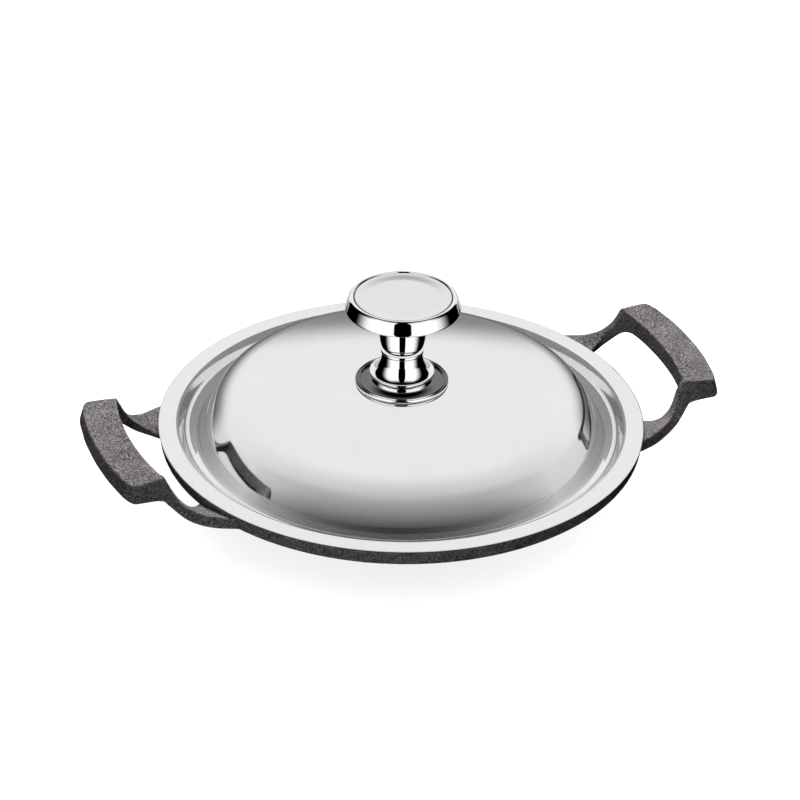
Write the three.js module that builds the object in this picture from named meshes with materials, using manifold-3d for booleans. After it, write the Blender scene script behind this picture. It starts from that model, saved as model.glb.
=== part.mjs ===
// Shallow cast iron pan with two loop handles, under a domed steel lid with a turned knob.
// Millimetres, +Z up, +X along the handles, origin at the centre of the base on the table.
import * as THREE from 'three';
import { mergeVertices } from 'three/addons/utils/BufferGeometryUtils.js';
import Module from 'manifold-3d';

const wasm = await Module();
wasm.setup();

// Cast bowl: a flat base, a straight flared wall and a plain upright lip
const PAN_RADIUS = 108.4;
const PAN_HEIGHT = 34;
const BASE_RADIUS = 57;
const FLOOR_THICKNESS = 4.5;
const WALL_THICKNESS = 4;
const RIM_WIDTH = 4.6;
const LIP_HEIGHT = 6;
const LIP_ROUND = 0.6;
const FLOOR_BLEND = 9;

// Loop handles: a raised, bowed grip on two arms that fall to the lip
const FINGER_GAP = 19.2;
const GRIP_WIDTH = 17.4;
const GRIP_BOW_RADIUS = 147;
const GRIP_HALF_LENGTH = 37;
const GRIP_SPLAY = 10;
const GRIP_RISE = 16.6;
const GRIP_THICKNESS = 9.2;
const GRIP_FALL = 0.9;
const GRIP_CORNER = 6;
const GRIP_EDGE = 1;
const GAP_INSET = 0.4;
const GAP_CORNER = 9;
const GAP_TAPER = 6;
const ARM_FOOT_ANGLE = 29.2;
const ARM_SWELL = 1.2;
const ARM_DROP = 1.6;
const ARM_TOP_RUN = 2.8;
const ARM_TOP_LIFT = 1.6;
const ARM_UNDER_RUN = 8.6;

// Lid: one pressed sheet with a flat flange, a recess that drops inside the rim, and a dome
const LID_OVERHANG = 1.6;
const LID_CLEARANCE = 1.7;
const SHEET = 1;
const RECESS_DEPTH = 6.6;
const RECESS_ANGLE = 61;
const RECESS_TOP_BEND = 0.6;
const RECESS_FOOT_BEND = 5;
const TROUGH_FLOOR = 1.1;
const CREASE_BEND = 1.5;
const DOME_HEIGHT = 27;
const DOME_WALL_ANGLE = 64;
const KNUCKLE_RADIUS = 16.5;
const CROWN_RADIUS = 880;

// Knob: rosette, foot, neck and head stacked on the crown, with a plate in the head's top
const SEAT_GAP = 0.2;
const ROSETTE_LEDGE = 3.8;
const ROSETTE_THICKNESS = 1;
const ROSETTE_BEAD = 0.5;
const ROSETTE_BEAD_WIDTH = 2.2;
const FOOT_HEIGHT = 15.5;
const FOOT_RADIUS = 14.3;
const FOOT_RING_PROUD = 0.6;
const FOOT_RING_BASE = 3.6;
const FOOT_RING_HEIGHT = 1.8;
const FOOT_STEM_RADIUS = 8.9;
const FOOT_LIP_PROUD = 0.8;
const FOOT_LIP_HEIGHT = 1.4;
const NECK_HEIGHT = 19.3;
const NECK_CUP_HEIGHT = 7;
const NECK_WAIST_RADIUS = 8;
const NECK_TOP_RADIUS = 10.9;
const HEAD_HEIGHT = 7.3;
const HEAD_BOTTOM_RADIUS = 24.4;
const HEAD_RADIUS = 26.1;
const HEAD_BELLY_HEIGHT = 1.2;
const HEAD_TOP_RADIUS = 23.5;
const HEAD_RING_WIDTH = 1.8;
const PLATE_THICKNESS = 1.2;
const PLATE_CLEARANCE = 0.3;
const PLATE_SINK = 0.3;

// Fastening: one screw up through the crown into the head, with its washers below the sheet
const SCREW_RADIUS = 3;
const SCREW_CLEARANCE = 0.3;
const SCREW_ENGAGEMENT = 3.2;
const SCREW_END_CLEARANCE = 0.6;
const SCREW_HEAD_RADIUS = 5;
const SCREW_HEAD_HEIGHT = 3.8;
const SOCKET_ACROSS_CORNERS = 4.6;
const SOCKET_DEPTH = 2.2;
const SEAL_RADIUS = 9;
const SEAL_THICKNESS = 1.5;
const WASHER_RADIUS = 8;
const WASHER_THICKNESS = 1.2;
const SPRING_RADIUS = 5.4;
const SPRING_THICKNESS = 1.6;
const SPRING_SPLIT = 12;

// Fineness of the round forms
const LARGE_SEGMENTS = 64;
const SMALL_SEGMENTS = 40;
const CURVE_STEPS = 6;
const BEND_STEPS = 3;

const castIron = new THREE.MeshStandardMaterial({ color: 0x3b383a, roughness: 0.75, metalness: 0.35 });
const polishedSteel = new THREE.MeshStandardMaterial({ color: 0xdedede, roughness: 0.12, metalness: 1 });
const chrome = new THREE.MeshStandardMaterial({ color: 0xe8e8ea, roughness: 0.05, metalness: 1 });
const zincSteel = new THREE.MeshStandardMaterial({ color: 0xb9bcc0, roughness: 0.4, metalness: 1 });
const silicone = new THREE.MeshStandardMaterial({ color: 0x55565a, roughness: 0.7, metalness: 0 });

const radians = THREE.MathUtils.degToRad;
const point = (x, y) => new THREE.Vector2(x, y);
const polar = (radius, degrees) => point(radius, 0).rotateAround(point(0, 0), radians(degrees));

// Points on an arc about a centre, from one direction to another, in radians
function arc(centre, radius, from, to, steps) {
  const points = [];
  for (let i = 0; i <= steps; i += 1) {
    const angle = from + ((to - from) * i) / steps;
    points.push(point(centre.x + radius * Math.cos(angle), centre.y + radius * Math.sin(angle)));
  }
  return points;
}

// Geometry with shared vertices and no flat triangles
function welded(geometry) {
  geometry.deleteAttribute('normal');
  geometry.deleteAttribute('uv');
  const merged = mergeVertices(geometry, 1e-5);
  const index = merged.index.array;
  const kept = [];
  for (let i = 0; i < index.length; i += 3) {
    const [a, b, c] = [index[i], index[i + 1], index[i + 2]];
    if (a !== b && b !== c && c !== a) {
      kept.push(a, b, c);
    }
  }
  merged.setIndex(kept);
  return merged;
}

// A turned body about Z from a profile of (radius, height) points, run upwards along its outside
function turned(profile, segments) {
  const geometry = new THREE.LatheGeometry(profile, segments);
  geometry.rotateX(Math.PI / 2);
  return welded(geometry);
}

// A turned ring, whose profile runs round and closes on its first point
function turnedRing(profile, segments) {
  return turned([...profile, profile[0]], segments);
}

function extruded(shape, depth) {
  const options = { depth, bevelEnabled: false, curveSegments: CURVE_STEPS };
  return welded(new THREE.ExtrudeGeometry(shape, options));
}

function solidOf(geometry) {
  const mesh = new wasm.Mesh({
    numProp: 3,
    vertProperties: new Float32Array(geometry.attributes.position.array),
    triVerts: new Uint32Array(geometry.index.array),
  });
  return new wasm.Manifold(mesh);
}

function geometryOf(solid) {
  const mesh = solid.getMesh();
  const geometry = new THREE.BufferGeometry();
  geometry.setAttribute('position', new THREE.BufferAttribute(new Float32Array(mesh.vertProperties), 3));
  geometry.setIndex(new THREE.BufferAttribute(new Uint32Array(mesh.triVerts), 1));
  return geometry;
}

function piece(name, geometry, material, height = 0) {
  const mesh = new THREE.Mesh(geometry, material);
  mesh.name = name;
  mesh.position.z = height;
  return mesh;
}

// Bowl: base, flared wall and lip outside, then the rim, the inside wall and the floor
function bowl() {
  const lipFoot = PAN_HEIGHT - LIP_HEIGHT;
  const flare = Math.atan2(lipFoot, PAN_RADIUS - BASE_RADIUS);
  const wallRise = WALL_THICKNESS / Math.cos(flare);
  const rimInside = PAN_RADIUS - RIM_WIDTH;
  const insideFoot = lipFoot + wallRise - RIM_WIDTH * Math.tan(flare);
  const floorEdge = rimInside - (insideFoot - FLOOR_THICKNESS) / Math.tan(flare);
  const profile = new THREE.Path();
  profile.moveTo(0, 0);
  profile.lineTo(BASE_RADIUS, 0);
  profile.lineTo(PAN_RADIUS, lipFoot);
  profile.lineTo(PAN_RADIUS, PAN_HEIGHT - LIP_ROUND);
  profile.lineTo(PAN_RADIUS - LIP_ROUND, PAN_HEIGHT);
  profile.lineTo(rimInside + LIP_ROUND, PAN_HEIGHT);
  profile.lineTo(rimInside, PAN_HEIGHT - LIP_ROUND);
  profile.lineTo(rimInside, insideFoot);
  profile.lineTo(
    floorEdge + FLOOR_BLEND * Math.cos(flare),
    FLOOR_THICKNESS + FLOOR_BLEND * Math.sin(flare),
  );
  profile.quadraticCurveTo(floorEdge, FLOOR_THICKNESS, floorEdge - FLOOR_BLEND, FLOOR_THICKNESS);
  profile.lineTo(0, FLOOR_THICKNESS);
  return turned(profile.getPoints(CURVE_STEPS), LARGE_SEGMENTS);
}

// Plan of one handle, open towards the bowl, as a shape seen from above
function handlePlan() {
  const bowCentre = PAN_RADIUS + FINGER_GAP - GRIP_BOW_RADIUS;
  const inner = (y) => point(bowCentre + Math.sqrt(GRIP_BOW_RADIUS ** 2 - y ** 2), y);
  const outerRadius = GRIP_BOW_RADIUS + GRIP_WIDTH;
  const outer = (y) => point(bowCentre + Math.sqrt(outerRadius ** 2 - y ** 2), y);
  const rootRadius = PAN_RADIUS - RIM_WIDTH / 2;
  const endInner = inner(GRIP_HALF_LENGTH);
  const outward = polar(1, GRIP_SPLAY);
  const endOuter = endInner.clone().addScaledVector(outward, GRIP_WIDTH - GRIP_CORNER);
  const endCorner = endInner.clone().addScaledVector(outward, GRIP_WIDTH);
  const outerEnd = outer(endCorner.y - GRIP_CORNER);
  const foot = polar(PAN_RADIUS, ARM_FOOT_ANGLE);
  const root = polar(rootRadius, ARM_FOOT_ANGLE);
  const armMiddle = foot.clone().lerp(endInner, 0.5).addScaledVector(outward, ARM_SWELL);
  const gapHalf = GRIP_HALF_LENGTH - GAP_INSET;
  const gapStart = inner(gapHalf - GAP_CORNER);
  const gapCorner = inner(gapHalf);
  const gapEnd = point(gapCorner.x - GAP_CORNER, gapHalf);
  const gapRoot = point(Math.sqrt(rootRadius ** 2 - (gapHalf - GAP_TAPER) ** 2), gapHalf - GAP_TAPER);
  const gapBend = point((gapEnd.x + gapRoot.x) / 2, gapHalf);
  const mirrored = (p) => point(p.x, -p.y);
  const bowAngle = (p) => Math.atan2(p.y, p.x - bowCentre);
  const shape = new THREE.Shape();
  const lineTo = (p) => shape.lineTo(p.x, p.y);
  const curveTo = (control, end) => shape.quadraticCurveTo(control.x, control.y, end.x, end.y);
  shape.moveTo(root.x, -root.y);
  lineTo(mirrored(foot));
  curveTo(mirrored(armMiddle), mirrored(endInner));
  lineTo(mirrored(endOuter));
  curveTo(mirrored(endCorner), mirrored(outerEnd));
  shape.absarc(bowCentre, 0, outerRadius, -bowAngle(outerEnd), bowAngle(outerEnd));
  curveTo(endCorner, endOuter);
  lineTo(endInner);
  curveTo(armMiddle, foot);
  lineTo(root);
  lineTo(gapRoot);
  curveTo(gapBend, gapEnd);
  curveTo(gapCorner, gapStart);
  shape.absarc(bowCentre, 0, GRIP_BOW_RADIUS, bowAngle(gapStart), -bowAngle(gapStart), true);
  curveTo(mirrored(gapCorner), mirrored(gapEnd));
  curveTo(mirrored(gapBend), mirrored(gapRoot));
  shape.closePath();
  return shape;
}

// Side view of one handle, heights from the rim: the arms sweep up into the grip
function handleSide() {
  const gripInner = PAN_RADIUS + FINGER_GAP;
  const gripOuter = gripInner + GRIP_WIDTH;
  const bowDepth = GRIP_BOW_RADIUS - Math.sqrt(GRIP_BOW_RADIUS ** 2 - GRIP_HALF_LENGTH ** 2);
  const gripStart = gripInner - bowDepth;
  const gripUnder = GRIP_RISE - GRIP_THICKNESS;
  const sweepStart = PAN_RADIUS - RIM_WIDTH;
  const shape = new THREE.Shape();
  shape.moveTo(0, -ARM_DROP);
  shape.lineTo(sweepStart, -ARM_DROP);
  shape.quadraticCurveTo(gripStart - ARM_TOP_RUN, ARM_TOP_LIFT, gripStart, GRIP_RISE);
  shape.lineTo(gripOuter - GRIP_EDGE, GRIP_RISE - GRIP_FALL);
  shape.lineTo(gripOuter, GRIP_RISE - GRIP_FALL - GRIP_EDGE);
  shape.lineTo(gripOuter, gripUnder + GRIP_EDGE);
  shape.lineTo(gripOuter - GRIP_EDGE, gripUnder);
  shape.lineTo(gripInner, gripUnder);
  shape.quadraticCurveTo(gripStart - ARM_UNDER_RUN, -LIP_HEIGHT, sweepStart, -LIP_HEIGHT);
  shape.lineTo(0, -LIP_HEIGHT);
  shape.closePath();
  return shape;
}

// One handle on the +X side: the part common to its plan and its side view
function handle() {
  const depth = 2 * (GRIP_RISE + LIP_HEIGHT);
  const plan = extruded(handlePlan(), depth);
  plan.translate(0, 0, PAN_HEIGHT - depth / 2);
  const width = 2 * PAN_RADIUS;
  const side = extruded(handleSide(), width);
  side.rotateX(Math.PI / 2);
  side.translate(0, width / 2, PAN_HEIGHT);
  return solidOf(plan).intersect(solidOf(side));
}

// Pan: bowl and both handles poured as one casting
function panCasting() {
  const right = handle();
  const left = right.rotate([0, 0, 180]);
  return geometryOf(solidOf(bowl()).add(right).add(left));
}

const lidRadius = PAN_RADIUS + LID_OVERHANG;
const crownHeight = SHEET - RECESS_DEPTH + DOME_HEIGHT;
const screwHole = SCREW_RADIUS + SCREW_CLEARANCE;
const footRingRadius = FOOT_RADIUS + FOOT_RING_PROUD;

// Height of a crown sphere of the given radius, through the same centre as the lid's crown
const crownAt = (sphere, radius) => crownHeight - CROWN_RADIUS + Math.sqrt(sphere ** 2 - radius ** 2);

// One face of the lid's sheet from flange to screw hole, a depth below the polished face.
// Heights are from the rim, and every bend keeps its centre, so the sheet is even.
function lidFace(depth) {
  const slope = radians(RECESS_ANGLE);
  const wall = radians(DOME_WALL_ANGLE);
  const recessRadius = PAN_RADIUS - RIM_WIDTH - LID_CLEARANCE;
  const recessFloor = SHEET - RECESS_DEPTH;
  const topBend = point(recessRadius, -RECESS_TOP_BEND);
  const bends = RECESS_TOP_BEND + SHEET + RECESS_FOOT_BEND;
  const straight = RECESS_DEPTH - bends * (1 - Math.cos(slope));
  const footBend = point(
    topBend.x - bends * Math.sin(slope) - straight / Math.tan(slope),
    recessFloor + RECESS_FOOT_BEND,
  );
  const domeBase = footBend.x - TROUGH_FLOOR - CREASE_BEND * Math.tan(wall / 2);
  const crease = point(footBend.x - TROUGH_FLOOR, recessFloor + CREASE_BEND);
  const reach = domeBase * Math.sin(wall) + (CROWN_RADIUS - DOME_HEIGHT) * Math.cos(wall) - KNUCKLE_RADIUS;
  const shoulder = wall - Math.acos(reach / (CROWN_RADIUS - KNUCKLE_RADIUS));
  const crown = point(0, crownHeight - CROWN_RADIUS);
  const knuckle = point(
    (CROWN_RADIUS - KNUCKLE_RADIUS) * Math.sin(shoulder),
    crown.y + (CROWN_RADIUS - KNUCKLE_RADIUS) * Math.cos(shoulder),
  );
  const up = Math.PI / 2;
  const holeAngle = Math.asin(screwHole / (CROWN_RADIUS - depth));
  return [
    point(lidRadius, SHEET - depth),
    ...arc(topBend, RECESS_TOP_BEND + SHEET - depth, up, up + slope, BEND_STEPS),
    ...arc(footBend, RECESS_FOOT_BEND + depth, slope - up, -up, BEND_STEPS),
    ...arc(crease, CREASE_BEND + depth, -up, -up - wall, BEND_STEPS),
    ...arc(knuckle, KNUCKLE_RADIUS - depth, up - wall, up - shoulder, CURVE_STEPS),
    ...arc(crown, CROWN_RADIUS - depth, up - shoulder, up - holeAngle, BEND_STEPS).slice(1),
  ];
}

function lidShell() {
  return turnedRing([...lidFace(SHEET).reverse(), ...lidFace(0)], LARGE_SEGMENTS);
}

// Rosette: a thin plate that follows the crown, with a raised bead round its edge
function rosette() {
  const under = CROWN_RADIUS + SEAT_GAP;
  const beadInside = footRingRadius + ROSETTE_LEDGE;
  const edge = beadInside + ROSETTE_BEAD_WIDTH;
  const seat = crownHeight + SEAT_GAP + ROSETTE_THICKNESS;
  const edgeTop = crownAt(under, edge) + ROSETTE_THICKNESS;
  return turnedRing([
    point(screwHole, crownAt(under, screwHole)),
    point(edge / 2, crownAt(under, edge / 2)),
    point(edge, crownAt(under, edge)),
    point(edge, edgeTop),
    point(edge - ROSETTE_BEAD_WIDTH / 4, edgeTop + ROSETTE_BEAD),
    point(beadInside + ROSETTE_BEAD_WIDTH / 4, edgeTop + ROSETTE_BEAD),
    point(beadInside, edgeTop),
    point(footRingRadius, seat),
    point(screwHole, seat),
  ], SMALL_SEGMENTS);
}

// Foot: a drum and a ring, then a hollow flare up to a narrow stem with a lip
function knobFoot() {
  const ringTop = FOOT_RING_BASE + FOOT_RING_HEIGHT;
  const ringRound = FOOT_RING_HEIGHT / 4;
  const lipFoot = FOOT_HEIGHT - FOOT_LIP_HEIGHT;
  const lipRadius = FOOT_STEM_RADIUS + FOOT_LIP_PROUD;
  const flare = new THREE.QuadraticBezierCurve(
    point(FOOT_RADIUS, ringTop),
    point(FOOT_STEM_RADIUS, ringTop + FOOT_LIP_HEIGHT),
    point(FOOT_STEM_RADIUS, lipFoot),
  );
  return turnedRing([
    point(screwHole, 0),
    point(FOOT_RADIUS, 0),
    point(FOOT_RADIUS, FOOT_RING_BASE),
    point(footRingRadius, FOOT_RING_BASE + ringRound),
    point(footRingRadius, ringTop - ringRound),
    ...flare.getPoints(CURVE_STEPS),
    point(lipRadius, lipFoot + ringRound),
    point(lipRadius, FOOT_HEIGHT),
    point(screwHole, FOOT_HEIGHT),
  ], SMALL_SEGMENTS);
}

// Neck: a round-bottomed cup that stands on its waist and carries the head
function knobNeck() {
  const cup = new THREE.QuadraticBezierCurve(
    point(NECK_WAIST_RADIUS, 0),
    point(NECK_TOP_RADIUS, 0),
    point(NECK_TOP_RADIUS, NECK_CUP_HEIGHT),
  );
  return turnedRing([
    point(screwHole, 0),
    ...cup.getPoints(CURVE_STEPS),
    point(NECK_TOP_RADIUS, NECK_HEIGHT),
    point(screwHole, NECK_HEIGHT),
  ], SMALL_SEGMENTS);
}

// Head: a broad disc, widest near its underside, with a ring round a shallow recess on top
function knobHead() {
  const recess = HEAD_TOP_RADIUS - HEAD_RING_WIDTH;
  const recessFloor = HEAD_HEIGHT - PLATE_THICKNESS - PLATE_SINK;
  const socketTop = SCREW_ENGAGEMENT + SCREW_END_CLEARANCE;
  return turned([
    point(0, socketTop),
    point(screwHole, socketTop),
    point(screwHole, 0),
    point(HEAD_BOTTOM_RADIUS, 0),
    point(HEAD_RADIUS, HEAD_BELLY_HEIGHT),
    point((HEAD_RADIUS + HEAD_TOP_RADIUS) / 2, HEAD_HEIGHT - HEAD_BELLY_HEIGHT),
    point(HEAD_TOP_RADIUS, HEAD_HEIGHT),
    point(recess, HEAD_HEIGHT),
    point(recess, recessFloor),
    point(0, recessFloor),
  ], SMALL_SEGMENTS);
}

// Plate: a plain disc let into the head's recess
function knobPlate() {
  const radius = HEAD_TOP_RADIUS - HEAD_RING_WIDTH - PLATE_CLEARANCE;
  return turned([
    point(0, 0),
    point(radius, 0),
    point(radius, PLATE_THICKNESS - PLATE_CLEARANCE),
    point(radius - PLATE_CLEARANCE, PLATE_THICKNESS),
    point(0, PLATE_THICKNESS),
  ], SMALL_SEGMENTS);
}

function flatWasher(radius, thickness) {
  return turnedRing([
    point(screwHole, 0),
    point(radius, 0),
    point(radius, thickness),
    point(screwHole, thickness),
  ], SMALL_SEGMENTS);
}

// Spring washer: a square-section ring with one split
function springWasher() {
  const half = radians(SPRING_SPLIT / 2);
  const ring = new THREE.Shape();
  ring.absarc(0, 0, SPRING_RADIUS, half, 2 * Math.PI - half);
  ring.absarc(0, 0, screwHole, 2 * Math.PI - half, half, true);
  ring.closePath();
  const options = { depth: SPRING_THICKNESS, bevelEnabled: false, curveSegments: SMALL_SEGMENTS / 2 };
  return welded(new THREE.ExtrudeGeometry(ring, options));
}

// Screw: a cylinder head with a hexagon socket below, its shank upwards
function knobScrew(length) {
  const blank = turned([
    point(0, 0),
    point(SCREW_HEAD_RADIUS, 0),
    point(SCREW_HEAD_RADIUS, SCREW_HEAD_HEIGHT),
    point(SCREW_RADIUS, SCREW_HEAD_HEIGHT),
    point(SCREW_RADIUS, SCREW_HEAD_HEIGHT + length),
    point(0, SCREW_HEAD_HEIGHT + length),
  ], SMALL_SEGMENTS);
  const hexagon = new THREE.Shape(arc(point(0, 0), SOCKET_ACROSS_CORNERS / 2, 0, 2 * Math.PI, 6).slice(1));
  const socket = extruded(hexagon, 2 * SOCKET_DEPTH);
  socket.translate(0, 0, -SOCKET_DEPTH);
  return geometryOf(solidOf(blank).subtract(solidOf(socket)));
}

// The knob's stack, upwards from the crown, and the fastening's, downwards from the sheet
const footHeight = crownHeight + SEAT_GAP + ROSETTE_THICKNESS;
const neckHeight = footHeight + FOOT_HEIGHT;
const headHeight = neckHeight + NECK_HEIGHT;
const plateHeight = headHeight + HEAD_HEIGHT - PLATE_THICKNESS - PLATE_SINK;
const sealTop = crownAt(CROWN_RADIUS - SHEET, SEAL_RADIUS) - SEAT_GAP;
const sealHeight = sealTop - SEAL_THICKNESS;
const washerHeight = sealHeight - WASHER_THICKNESS;
const springHeight = washerHeight - SPRING_THICKNESS;
const screwHeight = springHeight - SCREW_HEAD_HEIGHT;
const screwLength = headHeight + SCREW_ENGAGEMENT - springHeight;

const pan = new THREE.Group();
pan.add(piece('pan_casting', panCasting(), castIron));

const lid = new THREE.Group();
lid.position.z = PAN_HEIGHT;
lid.add(piece('lid_shell', lidShell(), polishedSteel));
lid.add(piece('knob_rosette', rosette(), chrome));
lid.add(piece('knob_foot', knobFoot(), chrome, footHeight));
lid.add(piece('knob_neck', knobNeck(), chrome, neckHeight));
lid.add(piece('knob_head', knobHead(), chrome, headHeight));
lid.add(piece('knob_plate', knobPlate(), polishedSteel, plateHeight));
lid.add(piece('knob_seal', flatWasher(SEAL_RADIUS, SEAL_THICKNESS), silicone, sealHeight));
lid.add(piece('knob_washer', flatWasher(WASHER_RADIUS, WASHER_THICKNESS), zincSteel, washerHeight));
lid.add(piece('knob_spring_washer', springWasher(), zincSteel, springHeight));
lid.add(piece('knob_screw', knobScrew(screwLength), zincSteel, screwHeight));

const assembly = new THREE.Group();
assembly.add(pan, lid);

export default assembly;
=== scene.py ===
# Looks of a shallow cast iron pan with two loop handles, under a domed steel lid with a turned knob.
# Metres, +Z up, +X along the handles, origin on the table under the middle of the pan.
import math

import bmesh
import bpy
import numpy as np
from mathutils import Matrix, Vector


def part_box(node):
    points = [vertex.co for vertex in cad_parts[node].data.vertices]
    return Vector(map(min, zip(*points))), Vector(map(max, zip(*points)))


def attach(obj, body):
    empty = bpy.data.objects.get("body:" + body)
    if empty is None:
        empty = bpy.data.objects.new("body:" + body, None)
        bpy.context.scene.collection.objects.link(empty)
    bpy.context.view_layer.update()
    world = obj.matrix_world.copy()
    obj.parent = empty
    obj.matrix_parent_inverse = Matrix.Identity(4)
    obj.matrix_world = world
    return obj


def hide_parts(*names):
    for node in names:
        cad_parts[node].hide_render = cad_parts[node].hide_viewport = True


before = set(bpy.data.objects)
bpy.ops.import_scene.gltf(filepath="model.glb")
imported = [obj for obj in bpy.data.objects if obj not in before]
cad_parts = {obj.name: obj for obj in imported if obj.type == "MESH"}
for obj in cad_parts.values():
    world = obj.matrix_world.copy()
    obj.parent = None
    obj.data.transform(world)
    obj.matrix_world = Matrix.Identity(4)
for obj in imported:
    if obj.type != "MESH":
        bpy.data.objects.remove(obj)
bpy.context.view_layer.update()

# Pan
# The bowl and both loop handles are one sand casting in grey iron. It is fettled and shot blasted, then
# seasoned with oil, so it is dark, with an open grain all over and a little shine along its edges.
mm = 0.001
pan_radius = 108.4 * mm
lip_radius = 109.2 * mm
pan_height = 34 * mm
base_radius = 57 * mm
lip_height = 6 * mm
floor_thickness = 4.5 * mm
wall_thickness = 4 * mm
rim_width = 4.6 * mm
pan_segments = 288


def softened(corners, cuts, steps=7):
    """Corners with every one rounded. A corner is cut back by its cut along both legs, at most 0.42 of
    the shorter, and a quadratic curve with the corner as its control point joins the cuts. A point a
    quarter cut further out on each leg keeps the flats flat. The second result is 1 in the middle of a
    curve and 0 on the legs."""
    back = np.roll(corners, 1, axis=-2) - corners
    ahead = np.roll(corners, -1, axis=-2) - corners
    back_length = np.linalg.norm(back, axis=-1, keepdims=True)
    ahead_length = np.linalg.norm(ahead, axis=-1, keepdims=True)
    cut = np.minimum(np.asarray(cuts)[..., None], 0.42 * np.minimum(back_length, ahead_length))
    t = np.linspace(0, 1, steps)
    towards_back = np.concatenate([[1.25], (1 - t) ** 2, [0]])[:, None]
    towards_ahead = np.concatenate([[0], t ** 2, [1.25]])[:, None]
    points = corners[..., None, :] + towards_back * (back / back_length * cut)[..., None, :]
    points = points + towards_ahead * (ahead / ahead_length * cut)[..., None, :]
    bend = np.tile(np.concatenate([[0], 4 * t * (1 - t), [0]]), corners.shape[-2])
    return points.reshape(*corners.shape[:-2], -1, corners.shape[-1]), bend


def woven(rows, columns, ring=False):
    """Quads of a grid of points. Each joins a point, the next in its row and the two beside them in the
    next row. Rows close on themselves, and in a ring the last row joins the first."""
    row = np.arange(rows if ring else rows - 1)[:, None]
    column = np.arange(columns)[None, :]
    near = row * columns
    far = (row + 1) % rows * columns
    beside = (column + 1) % columns
    return np.stack([near + column, near + beside, far + beside, far + column], axis=-1).reshape(-1, 4)


def turned(profile, segments, ring=True):
    """A profile of (radius, height) points carried round Z: a point at angle a is (r cos a, r sin a, h)."""
    angle = np.arange(segments) * 2 * np.pi / segments
    radius = profile[:, :1]
    height = profile[:, 1:] + 0 * angle
    points = np.stack([radius * np.cos(angle), radius * np.sin(angle), height], axis=-1).reshape(-1, 3)
    return points, woven(len(profile), segments, ring)


def piece(name, surfaces, finish, edges=None):
    """An object whose mesh joins surfaces of (points, quads), with points that coincide merged and faces
    smooth. Edges, where given, hold one worn value from 0 to 1 for each point."""
    counts = [len(points) for points, quads in surfaces]
    starts = np.cumsum([0] + counts[:-1])
    points = np.concatenate([surface[0] for surface in surfaces])
    quads = np.concatenate([surface[1] + start for surface, start in zip(surfaces, starts)])
    mesh = bpy.data.meshes.new(name)
    mesh.from_pydata(points.tolist(), [], quads.tolist())
    if edges is not None:
        worn = mesh.attributes.new("worn", "FLOAT", "POINT")
        worn.data.foreach_set("value", np.concatenate(edges).astype(np.float32))
    welded = bmesh.new()
    welded.from_mesh(mesh)
    bmesh.ops.remove_doubles(welded, verts=welded.verts, dist=1e-6)
    welded.to_mesh(mesh)
    welded.free()
    mesh.shade_smooth()
    mesh.materials.append(finish)
    made = bpy.data.objects.new(name, mesh)
    bpy.context.scene.collection.objects.link(made)
    return made


class Socket:
    """An output socket of a shader tree. Sums, differences and products with sockets or numbers add Math
    nodes."""

    def __init__(self, tree, link=None):
        self.tree = tree
        self.link = link

    def node(self, kind, settings, inputs, output=0):
        """Adds a node: its settings are set first, then its sockets get their numbers or links."""
        added = self.tree.nodes.new(kind)
        for name, value in settings.items():
            if name == "stops":
                while len(added.color_ramp.elements) < len(value):
                    added.color_ramp.elements.new(1)
                for element, (position, level) in zip(added.color_ramp.elements, value):
                    element.position = position
                    element.color = (level, level, level, 1)
            else:
                setattr(added, name, value)
        self.feed(added, inputs)
        return Socket(self.tree, added.outputs[output])

    def feed(self, target, inputs):
        """Sets sockets of a node to numbers, colours or links."""
        for name, value in inputs.items():
            if isinstance(value, Socket):
                self.tree.links.new(value.link, target.inputs[name])
            else:
                target.inputs[name].default_value = value

    def maths(self, operation, first, second):
        """A Math node on two sockets or numbers."""
        return self.node("ShaderNodeMath", {"operation": operation}, {0: first, 1: second})

    def __add__(self, other):
        return self.maths("ADD", self, other)

    def __radd__(self, other):
        return self.maths("ADD", other, self)

    def __sub__(self, other):
        return self.maths("SUBTRACT", self, other)

    def __rsub__(self, other):
        return self.maths("SUBTRACT", other, self)

    def __mul__(self, other):
        return self.maths("MULTIPLY", self, other)

    def __rmul__(self, other):
        return self.maths("MULTIPLY", other, self)

    def step(self, low, high):
        """0 below low, 1 above high and smooth between."""
        settings = {"interpolation_type": "SMOOTHSTEP"}
        return self.node("ShaderNodeMapRange", settings, {"Value": self, "From Min": low, "From Max": high})

    def noise(self, scale, detail=2.0, roughness=0.5):
        """Cloudy noise over this vector, from 0 to 1, with features of about one over the scale."""
        inputs = {"Vector": self, "Scale": scale, "Detail": detail, "Roughness": roughness}
        return self.node("ShaderNodeTexNoise", {}, inputs)

    def mix(self, first, second):
        """The first colour where this value is 0 and the second where it is 1."""
        return self.node("ShaderNodeMix", {"data_type": "RGBA"}, {0: self, 6: first, 7: second}, 2)

    def bump(self, depth, strength=1.0):
        """A normal for this height, in units of depth."""
        return self.node("ShaderNodeBump", {}, {"Height": self, "Distance": depth, "Strength": strength})


def new_finish(name, **values):
    """A material with the given values on its shader's own sockets, its shader, and its object
    coordinates."""
    material = bpy.data.materials.new(name)
    material.use_nodes = True
    tree = material.node_tree
    shader = tree.nodes["Principled BSDF"]
    place = Socket(tree).node("ShaderNodeTexCoord", {}, {}, "Object")
    place.feed(shader, {key.replace("_", " "): value for key, value in values.items()})
    return material, shader, place


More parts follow.
